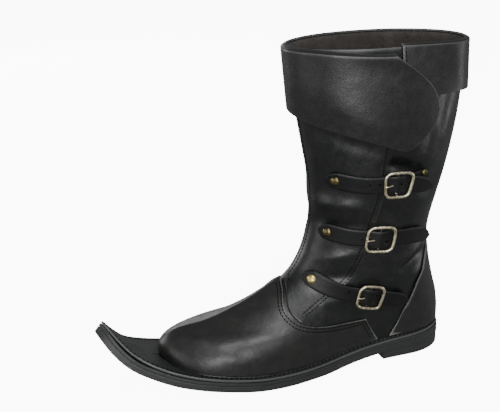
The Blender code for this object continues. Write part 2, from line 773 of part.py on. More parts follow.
def build_buckle(name, place, buckle, surface):
    corners = ((1, 1), (-1, 1), (-1, -1), (1, -1))
    points = []
    for k, (along, across) in enumerate(corners):
        for angle in (0, 30, 60, 90):
            a = math.radians(angle + 90 * k)
            x = along * (BUCKLE_LENGTH / 2 - BUCKLE_CORNER) + math.cos(a) * BUCKLE_CORNER
            y = across * (BUCKLE_HEIGHT / 2 - BUCKLE_CORNER) + math.sin(a) * BUCKLE_CORNER
            points.append(place(buckle + x, y, FRAME_LEVEL))
    frame = add_wire("buckle_" + name, points, BUCKLE_WIRE, surface, cyclic=True)

    reach = BUCKLE_HEIGHT / 2
    bar_points = []
    for share in (-1.0, -0.86, -0.76, 0.76, 0.86, 1.0):
        drop = 1 - ease(abs(share), 0.76, 1.0)
        level = FRAME_LEVEL + (BAR_LEVEL - FRAME_LEVEL) * drop
        bar_points.append(place(buckle, share * reach, level))
    bar = add_wire("buckle_" + name + "_bar", bar_points, BAR_WIRE, surface)
    bpy.data.collections["pointed_boot"].objects.unlink(bar)
    bpy.data.collections["cutters"].objects.link(bar)
    bar.hide_render = True
    bar.display_type = "WIRE"
    join = frame.modifiers.new("centre bar", "BOOLEAN")
    join.operation = "UNION"
    join.object = bar

    rest = FRAME_LEVEL + BUCKLE_WIRE + GAP + PIN_WIRE
    start = BUMP_REACH - 0.0035
    foot = strap_level(-start) + STRAP + GAP + PIN_WIRE
    side_bar = BUCKLE_LENGTH / 2
    pin = ((start, foot), (start + 0.0015, foot + 0.0004), (side_bar - 0.0020, rest - 0.0004),
           (side_bar - 0.0006, rest), (side_bar + 0.0008, rest - 0.0001))
    pin_points = [place(buckle - distance, 0.0, level) for distance, level in pin]
    add_wire("buckle_pin_" + name, pin_points, PIN_WIRE, surface)


def add_rivet(name, middle, normal, radius, surface):
    """A domed rivet head: a turned profile, set square to the leather."""
    steps = 4
    profile = [(radius * math.cos(a), RIVET_HEIGHT * math.sin(a))
               for a in spread(0.0, math.pi / 2, steps)]
    mesh = bpy.data.meshes.new(name)
    points = [(x, 0.0, z) for x, z in reversed(profile)] + [(0.0, 0.0, 0.0)]
    mesh.from_pydata(points, [(k, k + 1) for k in range(len(points) - 1)], [])
    made = add_object(name, mesh, surface)
    turn = made.modifiers.new("turned", "SCREW")
    turn.steps = turn.render_steps = 12
    turn.use_merge_vertices = True
    turn.merge_threshold = 0.00001
    made.location = middle
    made.rotation_mode = "QUATERNION"
    made.rotation_quaternion = normal.to_track_quat("Z", "Y")


def build_fastenings(leather, brass):
    for name, fastening in STRAP_SETS.items():
        length, place = strap_route(fastening.way)
        buckle = fastening.buckle * length
        build_strap(name, length, place, buckle, fastening.tail_point, leather)
        build_anchor(name, place, buckle, fastening.anchor_end, fastening.anchor_lift, leather)
        build_buckle(name, place, buckle, brass)
        level = STRAP_LEVEL + STRAP + GAP
        middle = place(RIVET_INSET, 0.0, level)
        normal = middle - place(RIVET_INSET, 0.0, 0.0)
        add_rivet("rivet_" + name, middle, normal, RIVET_RADIUS, brass)
        if fastening.anchor_lift > 0:
            at = buckle + fastening.anchor_end - RIVET_INSET
            lift = fastening.anchor_lift + BACK_RIVET_RADIUS
            middle = place(at, lift, SKIN_GAP + ANCHOR + GAP)
            normal = middle - place(at, lift, 0.0)
            add_rivet("anchor_rivet_" + name, middle, normal, BACK_RIVET_RADIUS, brass)


def main():
    for old in list(bpy.data.objects):
        bpy.data.objects.remove(old)
    for name in ("pointed_boot", "cutters"):
        group = bpy.data.collections.new(name)
        bpy.context.scene.collection.children.link(group)
    build_sole(material("sole_leather", (0.020, 0.020, 0.021), 0.60),
               material("insole_leather", (0.110, 0.085, 0.065), 0.80))
    build_upper(material("upper_leather", (0.018, 0.018, 0.020), 0.38))
    vamp = material("vamp_leather", (0.017, 0.018, 0.019), 0.34)
    build_vamp(vamp)
    build_counter(vamp)
    build_front_panel(material("panel_leather", (0.019, 0.018, 0.019), 0.40))
    build_cuff(material("cuff_leather", (0.022, 0.022, 0.023), 0.42))
    build_fastenings(material("strap_leather", (0.016, 0.016, 0.017), 0.45),
                     material("antique_brass", (0.52, 0.42, 0.24), 0.32, 1.0))


main()
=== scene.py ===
"""Looks of a pointed medieval buckle boot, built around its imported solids.

Metres throughout: -X is the toe, +X the back of the heel, -Y the outer side with the buckles,
+Y the inner side, +Z up.
"""

import math
from collections import namedtuple

import bmesh
import bpy
from mathutils import Matrix, Vector
from mathutils.bvhtree import BVHTree


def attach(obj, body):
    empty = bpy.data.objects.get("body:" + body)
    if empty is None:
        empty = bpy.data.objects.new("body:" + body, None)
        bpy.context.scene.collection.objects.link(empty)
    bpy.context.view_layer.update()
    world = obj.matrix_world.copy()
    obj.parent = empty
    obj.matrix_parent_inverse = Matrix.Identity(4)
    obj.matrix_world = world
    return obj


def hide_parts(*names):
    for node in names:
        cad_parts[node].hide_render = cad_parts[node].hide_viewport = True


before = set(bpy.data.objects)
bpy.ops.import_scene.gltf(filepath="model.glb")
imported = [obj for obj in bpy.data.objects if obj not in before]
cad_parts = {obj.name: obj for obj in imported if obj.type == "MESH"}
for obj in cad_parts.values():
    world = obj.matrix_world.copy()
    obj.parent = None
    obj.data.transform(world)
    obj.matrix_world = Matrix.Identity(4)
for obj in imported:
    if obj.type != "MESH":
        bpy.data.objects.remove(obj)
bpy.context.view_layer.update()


# The stacked sole: outsole, midsole and low heel, cut from stiff sole leather, pasted together
# and trimmed as one. Its edge is stained dark grey and rubbed, so it shines a little and shows
# faint lengthwise marks of the trimming knife. The heel is a block of two lifts.

MM = 0.001
MERGE = 0.000003           # points closer than this are one
SHARP = math.radians(50)   # an edge that turns more than this is a cut one
SOLE_BEVEL = 0.0006
SOLE_COLOURS = ("#1b1c1d", "#292a2b")
LIFT_HEIGHT = 0.0055       # one lift of the heel


def linear(code):
    """An sRGB hex colour as linear red, green, blue and alpha."""
    shares = [int(code[k:k + 2], 16) / 255 for k in (1, 3, 5)]
    return (*[s / 12.92 if s <= 0.04045 else ((s + 0.055) / 1.055) ** 2.4 for s in shares], 1.0)


def add_node(tree, kind, inputs=None, **settings):
    """Adds a shader node with its settings, and a value or a link for each of its sockets."""
    node = tree.nodes.new(kind)
    for key, value in settings.items():
        setattr(node, key, value)
    for key, value in (inputs or {}).items():
        if isinstance(value, bpy.types.NodeSocket):
            tree.links.new(value, node.inputs[key])
        else:
            node.inputs[key].default_value = value
    return node


def new_material(name):
    """An empty material, with its tree, its shader and its Object coordinates."""
    made = bpy.data.materials.new(name)
    made.use_nodes = True
    tree = made.node_tree
    place = add_node(tree, "ShaderNodeTexCoord").outputs["Object"]
    return made, tree, tree.nodes["Principled BSDF"], place


def select_only(piece):
    bpy.ops.object.select_all(action="DESELECT")
    bpy.context.view_layer.objects.active = piece
    piece.select_set(True)


def apply_modifier(piece, kind, **settings):
    """Adds a modifier with its settings and applies it."""
    select_only(piece)
    made = piece.modifiers.new(kind.lower(), kind)
    for key, value in settings.items():
        setattr(made, key, value)
    bpy.ops.object.modifier_apply(modifier=made.name)


def sharp_edges(shape):
    return [e for e in shape.edges if len(e.link_faces) == 2 and e.calc_face_angle() > SHARP]


def copy_of(node, name, material, levels, hold=0.75):
    """A copy of a node's solid, merged, divided smoothly and put in the node's place.

    hold is how much of a sharp edge stays sharp. Points on a sharp edge get the value 1 in the
    attribute cut_edge, which fades to 0 at the next row of the solid.
    """
    piece = bpy.data.objects.new(name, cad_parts[node].data.copy())
    bpy.context.scene.collection.objects.link(piece)
    select_only(piece)
    bpy.ops.object.mode_set(mode="EDIT")
    bpy.ops.mesh.select_all(action="SELECT")
    bpy.ops.mesh.remove_doubles(threshold=MERGE)
    bpy.ops.mesh.tris_convert_to_quads(face_threshold=math.radians(65), shape_threshold=math.pi)
    bpy.ops.object.mode_set(mode="OBJECT")
    shape = bmesh.new()
    shape.from_mesh(piece.data)
    keep = shape.edges.layers.float.new("crease_edge")
    rim = shape.verts.layers.float.new("cut_edge")
    for edge in sharp_edges(shape):
        edge[keep] = hold
        for vertex in edge.verts:
            vertex[rim] = 1.0
    shape.to_mesh(piece.data)
    shape.free()
    piece.data.materials.clear()
    piece.data.materials.append(material)
    if levels:
        apply_modifier(piece, "SUBSURF", levels=levels, render_levels=levels)
    piece.data.shade_smooth()
    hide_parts(node)
    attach(piece, "root")
    return piece


def sole_material():
    """Dressed sole leather edge: dark grey, rubbed smooth, with fine lines along the edge."""
    made, tree, shader, place = new_material("edge_dressed_sole_leather")
    stretched = add_node(tree, "ShaderNodeMapping", {"Vector": place, "Scale": (0.12, 0.12, 1.0)})
    lines = add_node(tree, "ShaderNodeTexNoise",
                     {"Vector": stretched.outputs["Vector"], "Scale": 1 / (1.6 * MM), "Detail": 3.0})
    blotches = add_node(tree, "ShaderNodeTexNoise",
                        {"Vector": place, "Scale": 1 / (14 * MM), "Detail": 5.0})
    colour = add_node(tree, "ShaderNodeMix",
                      {"Factor": blotches.outputs["Fac"], 6: linear(SOLE_COLOURS[0]),
                       7: linear(SOLE_COLOURS[1])}, data_type="RGBA")
    rough = add_node(tree, "ShaderNodeMapRange",
                     {"Value": lines.outputs["Fac"], "To Min": 0.42, "To Max": 0.62})
    # A fine groove where two lifts of the heel meet, and none on the soles above.
    height = add_node(tree, "ShaderNodeSeparateXYZ", {"Vector": place})
    lift = add_node(tree, "ShaderNodeMath", {0: height.outputs["Z"], 1: LIFT_HEIGHT},
                    operation="MODULO")
    joint = add_node(tree, "ShaderNodeMapRange",
                     {"Value": lift.outputs["Value"], "From Min": 0.0, "From Max": 0.0005})
    below = add_node(tree, "ShaderNodeMath", {0: height.outputs["Z"], 1: 2.5 * LIFT_HEIGHT},
                     operation="GREATER_THAN")
    groove = add_node(tree, "ShaderNodeMath",
                      {0: joint.outputs["Result"], 1: below.outputs["Value"]},
                      operation="MAXIMUM")
    grain = add_node(tree, "ShaderNodeBump",
                     {"Height": lines.outputs["Fac"], "Strength": 0.35, "Distance": 0.0003})
    bump = add_node(tree, "ShaderNodeBump",
                    {"Height": groove.outputs["Value"], "Strength": 0.5, "Distance": 0.0004,
                     "Normal": grain.outputs["Normal"]})
    tree.links.new(colour.outputs[2], shader.inputs["Base Color"])
    tree.links.new(rough.outputs["Result"], shader.inputs["Roughness"])
    tree.links.new(bump.outputs["Normal"], shader.inputs["Normal"])
    return made


sole_leather = sole_material()
for node in ("outsole", "midsole", "heel"):
    layer = copy_of(node, node + "_leather", sole_leather, 2, hold=1.0)
    apply_modifier(layer, "BEVEL", width=SOLE_BEVEL, segments=2, limit_method="ANGLE",
                   angle_limit=math.radians(40), use_clamp_overlap=True)


# The insole: a flat sock of undyed leather on which the foot stands, pasted down inside. It is
# brown and matt.

INSOLE_COLOURS = ("#4a3c30", "#5d4d3e")


def flesh_side(name, colours, grain):
    """The flesh side of leather: short brown-grey nap, matt, with a cloudy colour.

    grain is the size of its nap, drawn coarser than the real one, so that it shows.
    """
    made, tree, shader, place = new_material(name)
    nap = add_node(tree, "ShaderNodeTexNoise", {"Vector": place, "Scale": 1 / grain, "Detail": 4.0})
    clouds = add_node(tree, "ShaderNodeTexNoise",
                      {"Vector": place, "Scale": 1 / (18 * MM), "Detail": 5.0, "Roughness": 0.6})
    mixed = add_node(tree, "ShaderNodeMath",
                     {0: nap.outputs["Fac"], 1: clouds.outputs["Fac"]}, operation="MULTIPLY")
    share = add_node(tree, "ShaderNodeMapRange",
                     {"Value": mixed.outputs["Value"], "From Min": 0.12, "From Max": 0.40})
    colour = add_node(tree, "ShaderNodeMix",
                      {"Factor": share.outputs["Result"], 6: linear(colours[0]),
                       7: linear(colours[1])}, data_type="RGBA")
    bump = add_node(tree, "ShaderNodeBump",
                    {"Height": nap.outputs["Fac"], "Strength": 0.5, "Distance": 0.0003})
    tree.links.new(colour.outputs[2], shader.inputs["Base Color"])
    tree.links.new(bump.outputs["Normal"], shader.inputs["Normal"])
    shader.inputs["Roughness"].default_value = 0.9
    shader.inputs["Sheen Weight"].default_value = 0.15
    return made


insole = copy_of("insole", "insole_sock", flesh_side("vegetable_tanned_insole", INSOLE_COLOURS,
                                                     0.8 * MM), 2)


# The upper: one hollow shaft and foot of black waxed cowhide about 2 mm thick, grain side out
# and suede side in. Its lower edge is turned out and stitched down flat on the midsole. Wear has
# given it folds: a hollow behind the top buckle, a pinch below the middle one, bulges between.

INSIDE_COLOURS = ("#242120", "#46413c")
# The middle line of the foot and the shaft.
AXIS = (Vector((-0.22, 0.003, 0.015)), Vector((-0.075, 0, 0.035)), Vector((-0.048, 0, 0.10)),
        Vector((-0.042, 0, 0.32)))

# Folds as seen from the side, in millimetres: from one end to the other, how far each side of
# its line it fades, and how high it stands. side is -1 on the outer side and 1 on the inner.
Fold = namedtuple("Fold", "side x z to_x to_z width height")
FOLDS = (
    Fold(-1, 7, 121, -28, 103, 4.0, 2.6),
    Fold(-1, 2, 106, -24, 93, 5.0, -3.8),
    Fold(-1, 4, 91, -26, 80, 6.0, 1.6),
    Fold(-1, -106, 167, -74, 163, 7.0, 2.2),
    Fold(-1, -108, 147, -66, 143, 9.0, -2.6),
    Fold(-1, -108, 112, -76, 117, 5.0, 1.1),
    Fold(-1, -112, 93, -78, 97, 8.5, -3.6),
    Fold(-1, -102, 70, -72, 71, 5.0, 1.7),
    Fold(-1, -116, 82, -92, 80, 7.0, -1.6),
    Fold(-1, -44, 201, -14, 193, 8.0, -8.0),
    Fold(-1, -24, 168, 4, 156, 9.0, 2.2),
    Fold(-1, -116, 238, -48, 212, 6.0, -1.1),
    Fold(-1, -48, 158, -26, 146, 8.0, -1.6),
    Fold(-1, 6, 264, -4, 240, 5.0, 1.6),
    Fold(-1, 18, 264, 7, 236, 4.0, -1.6),
    Fold(-1, 17, 240, 10, 214, 3.0, 1.1),
    Fold(-1, 0, 236, -8, 208, 6.0, -1.6),
    Fold(-1, 20, 205, 10, 165, 7.0, 1.8),
    Fold(1, -108, 150, -38, 138, 8.0, -3.4),
    Fold(1, -104, 172, -20, 162, 12.0, 2.4),
    Fold(1, -24, 165, 12, 112, 8.0, -3.8),
    Fold(1, -70, 118, -16, 104, 9.0, 2.0),
    Fold(1, 0, 240, 20, 180, 10.0, -2.0),
    Fold(1, -100, 108, -70, 92, 7.0, -1.8),
    Fold(1, -60, 230, -20, 205, 14.0, 2.2),
    Fold(1, -90, 225, -70, 190, 11.0, -1.8),
)
SIDE_FADE = 0.012          # folds fade out this close to the front and back seams
SEAT_TOP = 0.0135          # top of the insole at the heel
TIP_START = -0.24          # in front of this the upper is flat
EDGE_TOP = 0.030           # the turned-out edge lies below this behind the tip
EDGE_UP = Vector((0.4, 0, 1)).normalized()


def smooth_step(value, low, high):
    s = min(max((value - low) / (high - low), 0.0), 1.0)
    return s * s * (3 - 2 * s)


def outward(point):
    """The direction away from the middle line."""
    best, nearest = None, None
    for a, b in zip(AXIS, AXIS[1:]):
        share = min(max((point - a).dot(b - a) / (b - a).length_squared, 0.0), 1.0)
        on_axis = a.lerp(b, share)
        if best is None or (point - on_axis).length < best:
            best, nearest = (point - on_axis).length, on_axis
    return (point - nearest).normalized()


def fold_height(point, folds):
    """How far all the folds together lift a point. A fold is lower at its ends."""
    total = 0.0
    for fold in folds:
        side = smooth_step(point.y * fold.side, 0.0, SIDE_FADE)
        if side == 0.0:
            continue
        start, end = Vector((fold.x, fold.z)) * MM, Vector((fold.to_x, fold.to_z)) * MM
        here = Vector((point.x, point.z))
        share = (here - start).dot(end - start) / (end - start).length_squared
        share = min(max(share, 0.0), 1.0)
        off = here - start.lerp(end, share)
        spread = off.length / (fold.width * MM)
        middle = 1 - 0.45 * (2 * share - 1) ** 2
        total += fold.height * MM * side * middle * math.exp(-spread * spread)
    return total


def wear_in(piece, folds=FOLDS):
    """Gives a leather piece the boot's folds. Sheets that lie on each other fold together."""
    for vertex in piece.data.vertices:
        lift = fold_height(vertex.co, folds)
        if abs(lift) > 0.00002:
            vertex.co += outward(vertex.co) * lift
    piece.data.update()


def turn_flesh_in(piece, flesh):
    """Gives the faces that look inward the flesh side of the leather."""
    piece.data.materials.append(flesh)
    for face in piece.data.polygons:
        inside = face.center.z > SEAT_TOP and face.center.x > TIP_START
        if inside and face.normal.dot(outward(face.center)) < -0.25:
            face.material_index = 1


def turn_edge_out(piece, leather):
    """Gives the turned-out edge, with the flat tip, the scuffed leather."""
    piece.data.materials.append(leather)
    for face in piece.data.polygons:
        low = face.center.z < EDGE_TOP or face.center.x < TIP_START
        if low and face.normal.dot(EDGE_UP) > 0.5:
            face.material_index = 2


def waxed_leather(name, colours, gloss, grain=1.3, tint="#1d1c18", edge_core_and_highlight="#303030", shine=0.5):
    """Black waxed cowhide: smooth and close, so it takes wide soft lights.

    The wax leaves it cloudy and warmer where it is rubbed. Cut edges are lighter: partly the paler
    leather inside, partly a painted highlight line along the edge.
    gloss is its middle roughness and shine its mirror share. grain is the size of its pores in
    millimetres, drawn coarser than the real ones, so that they show.
    """
    made, tree, shader, place = new_material(name)
    clouds = add_node(tree, "ShaderNodeTexNoise",
                      {"Vector": place, "Scale": 1 / (34 * MM), "Detail": 3.0, "Roughness": 0.5})
    rubbed = add_node(tree, "ShaderNodeTexNoise",
                      {"Vector": place, "Scale": 1 / (8 * MM), "Detail": 6.0, "Roughness": 0.65})
    pores = add_node(tree, "ShaderNodeTexVoronoi",
                     {"Vector": place, "Scale": 1 / (grain * MM), "Randomness": 1.0})
    wrinkles = add_node(tree, "ShaderNodeTexNoise",
                        {"Vector": place, "Scale": 1 / (5 * MM), "Detail": 7.0, "Roughness": 0.6,
                         "Distortion": 0.6})
    base = add_node(tree, "ShaderNodeMix",
                    {"Factor": clouds.outputs["Fac"], 6: linear(colours[0]),
                     7: linear(colours[1])}, data_type="RGBA")
    warm = add_node(tree, "ShaderNodeMapRange",
                    {"Value": rubbed.outputs["Fac"], "From Min": 0.50, "From Max": 0.75,
                     "To Max": 0.6})
    worn = add_node(tree, "ShaderNodeMix",
                    {"Factor": warm.outputs["Result"], 6: base.outputs[2], 7: linear(tint)},
                    data_type="RGBA")
    # Painted highlight: the very edge gets a lighter colour, partly the paler cut leather and partly
    # a painted line of edge light.
    edge = add_node(tree, "ShaderNodeAttribute", attribute_name="cut_edge")
    cut = add_node(tree, "ShaderNodeMath", {0: edge.outputs["Fac"], 1: 16.0}, operation="POWER")
    colour = add_node(tree, "ShaderNodeMix",
                      {"Factor": cut.outputs["Value"], 6: worn.outputs[2], 7: linear(edge_core_and_highlight)},
                      data_type="RGBA")
    rough = add_node(tree, "ShaderNodeMapRange",
                     {"Value": rubbed.outputs["Fac"], "From Min": 0.3, "From Max": 0.7,
                      "To Min": gloss - 0.06, "To Max": gloss + 0.10})
    soft = add_node(tree, "ShaderNodeBump",
                    {"Height": clouds.outputs["Fac"], "Strength": 0.25, "Distance": 0.004})
    fine = add_node(tree, "ShaderNodeBump",
                    {"Height": wrinkles.outputs["Fac"], "Strength": 0.16, "Distance": 0.0007,
                     "Normal": soft.outputs["Normal"]})
    bump = add_node(tree, "ShaderNodeBump",
                    {"Height": pores.outputs["Distance"], "Strength": 0.22,
                     "Distance": 0.16 * MM * grain, "Normal": fine.outputs["Normal"]})
    tree.links.new(colour.outputs[2], shader.inputs["Base Color"])
    tree.links.new(rough.outputs["Result"], shader.inputs["Roughness"])
    tree.links.new(bump.outputs["Normal"], shader.inputs["Normal"])
    shader.inputs["IOR"].default_value = 1.5
    shader.inputs["Specular IOR Level"].default_value = shine
    shader.inputs["Coat Weight"].default_value = 0.08
    shader.inputs["Coat Roughness"].default_value = 0.3
    return made


shaft_leather = waxed_leather("waxed_shaft_cowhide", ("#080a09", "#111413"), 0.35, edge_core_and_highlight="#434745")
flesh = flesh_side("suede_flesh_side", INSIDE_COLOURS, 0.9 * MM)
upper = copy_of("upper", "upper_shell", shaft_leather, 2, hold=0.9)
wear_in(upper)
turn_flesh_in(upper, flesh)
# The turned-out edge is scuffed grey by the ground, so it reads lighter than its stitches.
turn_edge_out(upper, waxed_leather("scuffed_edge_cowhide", ("#1f2221", "#323634"), 0.52))


# The vamp and the heel counter: outer pieces of the same hide, cut on the curve of the last; their
# colour is a greener grey and is set lighter than the shaft's, as painted light on the foot's side
# faces. Two rows of waxed thread sew the vamp over the shaft, round the square corner of each long
# wing, and one row all round the shoe holds the turned-out edge on the sole.

STITCH_LENGTH = 0.0032     # the part of a stitch that shows, of a 3.4 mm step
STITCH_STEP = 0.0034
STITCH_WIDTH = 0.0011
VAMP_ROWS = (0.0017, 0.0049)               # from the cut edge
WELT_ROW = 0.0036
TIP_SEAM = (-0.264, -0.256, -0.249)        # along the shoe
CREST_START = -0.256       # a low ridge runs along the top of the last, from the toe
CREST_RUN_IN = 0.02        # it comes up over this length
CREST_FOOT = (0.032, 0.045)                # and between these heights
CREST_SIDE = 0.001
CREST_HEIGHT = 0.0022
CREST_WIDTH = 0.0060


def thread_material():
    """Waxed linen thread: black and dull, darker than the thread alone as painted shade of the
    groove it sinks into, so that a row reads as a dark line.
    """
    made, tree, shader, place = new_material("black_thread_with_painted_groove_shade")
    twist = add_node(tree, "ShaderNodeTexNoise", {"Vector": place, "Scale": 1 / (0.5 * MM)})
    bump = add_node(tree, "ShaderNodeBump",
                    {"Height": twist.outputs["Fac"], "Strength": 0.4, "Distance": 0.0002})
    tree.links.new(bump.outputs["Normal"], shader.inputs["Normal"])
    # Painted shade: near black, for the thread's own dark colour and for the shade in its sunk
    # groove.
    shader.inputs["Base Color"].default_value = linear("#050505")
    shader.inputs["Roughness"].default_value = 0.8
    shader.inputs["Specular IOR Level"].default_value = 0.15
    return made


def rim_of(node, faces_out, keep):
    """Where a node's outer face ends in a cut edge, as lines of points with the way inwards.

    faces_out(face) tells the outer face from the rim, and keep(point) chooses the stretch.
    """
    shape = bmesh.new()
    shape.from_mesh(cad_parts[node].data)
    bmesh.ops.remove_doubles(shape, verts=shape.verts, dist=MERGE)
    inward, ways = {}, {}
    for edge in sharp_edges(shape):
        outer = [face for face in edge.link_faces if faces_out(face)]
        ends = [vertex.index for vertex in edge.verts]
        if len(outer) != 1 or not edge.is_convex or not all(keep(v.co) for v in edge.verts):
            continue
        rim = [face for face in edge.link_faces if face != outer[0]][0]
        for a, b in (ends, ends[::-1]):
            ways.setdefault(a, []).append(b)
            inward[a] = inward.get(a, Vector()) - rim.normal
    spots = {vertex.index: vertex.co.copy() for vertex in shape.verts if vertex.index in ways}
    shape.free()
    lines = []
    while ways:
        ends = [a for a in ways if len(ways[a]) == 1]
        here = ends[0] if ends else next(iter(ways))
        line = [here]
        while ways.get(here):
            there = ways[here].pop()
            ways[there].remove(here)
            if not ways[here]:
                del ways[here]
            line.append(there)
            here = there
        ways.pop(here, None)
        lines.append([(spots[a], inward[a].normalized()) for a in line])
    return lines


def stretches(lines, keep):
    """The unbroken stretches of some lines whose points keep(point) chooses."""
    found = []
    for line in lines:
        stretch = []
        for spot, way in line:
            if keep(spot):
                stretch.append((spot, way))
            elif stretch:
                found.append(stretch)
                stretch = []
        if stretch:
            found.append(stretch)
    return [stretch for stretch in found if len(stretch) > 1]


def evenly(points, step):
    """Points at even steps along a line of points."""
    spots, left = [points[0]], step
    for a, b in zip(points, points[1:]):
        length = (b - a).length
        while length >= left:
            a = a.lerp(b, left / length)
            length -= left
            left = step
            spots.append(a)
        left -= length
    return spots


def rounded(points, times=2):
    """A line of points with its corners cut, so that it runs smoothly."""
    for _ in range(times):
        cut = [points[0]]
        for a, b in zip(points, points[1:]):
            cut += [a.lerp(b, 0.25), a.lerp(b, 0.75)]
        points = cut + [points[-1]]
    return points


def surface_of(piece):
    return BVHTree.FromPolygons([vertex.co for vertex in piece.data.vertices],
                                [face.vertices for face in piece.data.polygons])


def sew(name, piece, lines, inset, step=STITCH_STEP, length=STITCH_LENGTH, width=STITCH_WIDTH):
    """Sews a row of stitches into a piece, at an inset from the lines of its edge."""
    bpy.ops.mesh.primitive_uv_sphere_add(segments=8, ring_count=6, radius=0.5)
    stitch = bpy.context.object
    surface = surface_of(piece)
    shape = bmesh.new()
    for line in lines:
        edge = [spot for spot, way in line]
        row = [spot + way * inset for spot, way in line]
        row = [spot for spot in row if min((spot - e).length for e in edge) > 0.85 * inset]
        if len(row) < 2:
            continue
        row = evenly(rounded(row), step)
        for before, after in zip(row, row[1:]):
            spot, up, _, _ = surface.find_nearest(before.lerp(after, 0.5))
            along = (after - before).normalized()
            side = up.cross(along).normalized()
            up = along.cross(side)
            turned = Matrix((along * length, side * width, up * width * 0.9)).transposed().to_4x4()
            known = len(shape.verts)
            shape.from_mesh(stitch.data)
            shape.verts.ensure_lookup_table()
            bmesh.ops.transform(shape, matrix=Matrix.Translation(spot) @ turned,
                                verts=shape.verts[known:])
    shape.to_mesh(stitch.data)
    shape.free()
    stitch.name = name
    stitch.data.materials.append(thread)
    stitch.data.shade_smooth()
    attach(stitch, "root")
    return stitch


def looks_out(face):
    """Tells the outer face of a sheet from its rim and its inner face."""
    return face.normal.dot(outward(face.calc_center_median())) > 0.5


thread = thread_material()
welt_edge = rim_of("upper", lambda face: face.normal.dot(EDGE_UP) > 0.6,
                   lambda point: point.z < 0.072)
sew("welt_stitches", upper, welt_edge, WELT_ROW, step=0.0046, length=0.0036, width=0.0013)
# Painted light: the same hide as the shaft, set lighter so that the foot's side faces read brighter;
# its cut edges get a pale grey that is partly a painted highlight line.
foot_leather = waxed_leather("waxed_foot_cowhide_with_painted_light", ("#0e1010", "#1a1c19"), 0.41, tint="#1e211b",
                             edge_core_and_highlight="#5e605c")
vamp = copy_of("vamp", "vamp_leather", foot_leather, 3)
wear_in(vamp)
for vertex in vamp.data.vertices:
    along = smooth_step(vertex.co.x, CREST_START, CREST_START + CREST_RUN_IN)
    up = smooth_step(vertex.co.z, *CREST_FOOT)
    off = abs(vertex.co.y - CREST_SIDE)
    vertex.co.z += CREST_HEIGHT * along * up * math.exp(-off / CREST_WIDTH)
vamp.data.update()
vamp_edge = rim_of("vamp", looks_out, lambda point: point.z > 0.026 and point.x > -0.19)
for number, inset in enumerate(VAMP_ROWS):
    sew(f"vamp_stitches_{number}", vamp, vamp_edge, inset)
# A short seam closes the upper where the flat tip begins. It lies on its own line, so its inset
# is next to nothing.
tip_seam = [(Vector((x, 0.003, 0.032)), Vector((0, 1, 0))) for x in TIP_SEAM]
sew("tip_seam_stitches", upper, [tip_seam], 0.0001, step=0.0030, width=0.0008)
counter = copy_of("heel_counter", "heel_counter_leather", foot_leather, 3)
wear_in(counter)


# The front panel: a thinner sheet of the waxed hide that starts in the front seam, wraps over the
# outer side and ends in a free edge, turned under and sewn. The three straps pull it shut.

FRONT_ROW = 0.0042         # rows of stitches, from the panel's edge
HEM_ROW = 0.0052
END_ROW = 0.0018

panel = copy_of("front_panel", "front_panel_leather",
                waxed_leather("waxed_panel_cowhide", ("#080a09", "#111413"), 0.36), 3)
wear_in(panel)
turn_flesh_in(panel, flesh)
# One row runs down the front seam and one down the free edge, with a second one at its foot.
panel_edge = rim_of("front_panel", looks_out, lambda point: point.z > 0.045)
front_edge = stretches(panel_edge, lambda point: point.y > -0.012)
free_edge = stretches(panel_edge, lambda point: point.y < -0.020 and point.x > -0.125)
sew("front_seam_stitches", panel, front_edge, FRONT_ROW)
sew("panel_hem_stitches", panel, free_edge, HEM_ROW)
lower_edge = stretches(free_edge, lambda point: point.z < 0.124)
sew("panel_end_stitches", panel, lower_edge, END_ROW)


# The cuff: the top of the shaft turned down as a wide collar, duller because it is handled, with
# a pebbled grain (drawn coarser than the real one, so that it shows). Its front end is a rounded
# flap over the outer side, and a row of stitches holds its back end.

CUFF_FOLDS = (
    Fold(-1, -118, 276, -66, 240, 16.0, 2.2),
    Fold(-1, -78, 296, -42, 284, 11.0, -1.8),
    Fold(-1, 24, 295, 30, 262, 8.0, 1.2),
    Fold(1, -90, 285, -60, 262, 18.0, 1.8),
    Fold(1, -10, 290, 20, 258, 16.0, 1.6),
)
CUFF_END_ROW = 0.0030

# Its cut edges, the flap's among them, get a light grey that is partly a painted highlight line.
cuff = copy_of("cuff", "cuff_leather",
               waxed_leather("waxed_cuff_cowhide", ("#0e0e0f", "#191819"), 0.43, grain=1.8,
                             edge_core_and_highlight="#4a4b4a"), 3)
wear_in(cuff, CUFF_FOLDS)
cuff_end = rim_of("cuff", looks_out, lambda point: point.y < -0.02 and -0.033 < point.x < -0.028)
sew("cuff_end_stitches", cuff, cuff_end, CUFF_END_ROW, width=0.0009)


# Three straps: strips of 1.6 mm leather, each held by a rivet at its front end, run through a
# buckle and tapered at the tail. Under each tail a short strip goes round the buckle's bar. Oil
# makes them duller and blacker than the waxed hide round them.

# The punched holes that show, in millimetres along the shoe and up.
HOLES = {"top": ((-66, 186), (-57, 186), (-37, 185)), "middle": ((-70, 133), (-47, 129)),
         "bottom": ((-80, 80), (-52, 72))}
HOLE_RADIUS = 0.0010
PUNCH_LENGTH = 0.006


def punch(piece, x, z):
    """Punches a round hole through a strap, square to its face."""
    spot, up, _, _ = surface_of(piece).ray_cast(Vector((x, -90, z)) * MM, Vector((0, 1, 0)))
    bpy.ops.mesh.primitive_cylinder_add(vertices=16, radius=HOLE_RADIUS, depth=PUNCH_LENGTH)
    cutter = bpy.context.object
    cutter.matrix_world = Matrix.Translation(spot) @ up.to_track_quat("Z", "Y").to_matrix().to_4x4()
    apply_modifier(piece, "BOOLEAN", object=cutter, operation="DIFFERENCE", solver="EXACT")
    bpy.data.objects.remove(cutter)


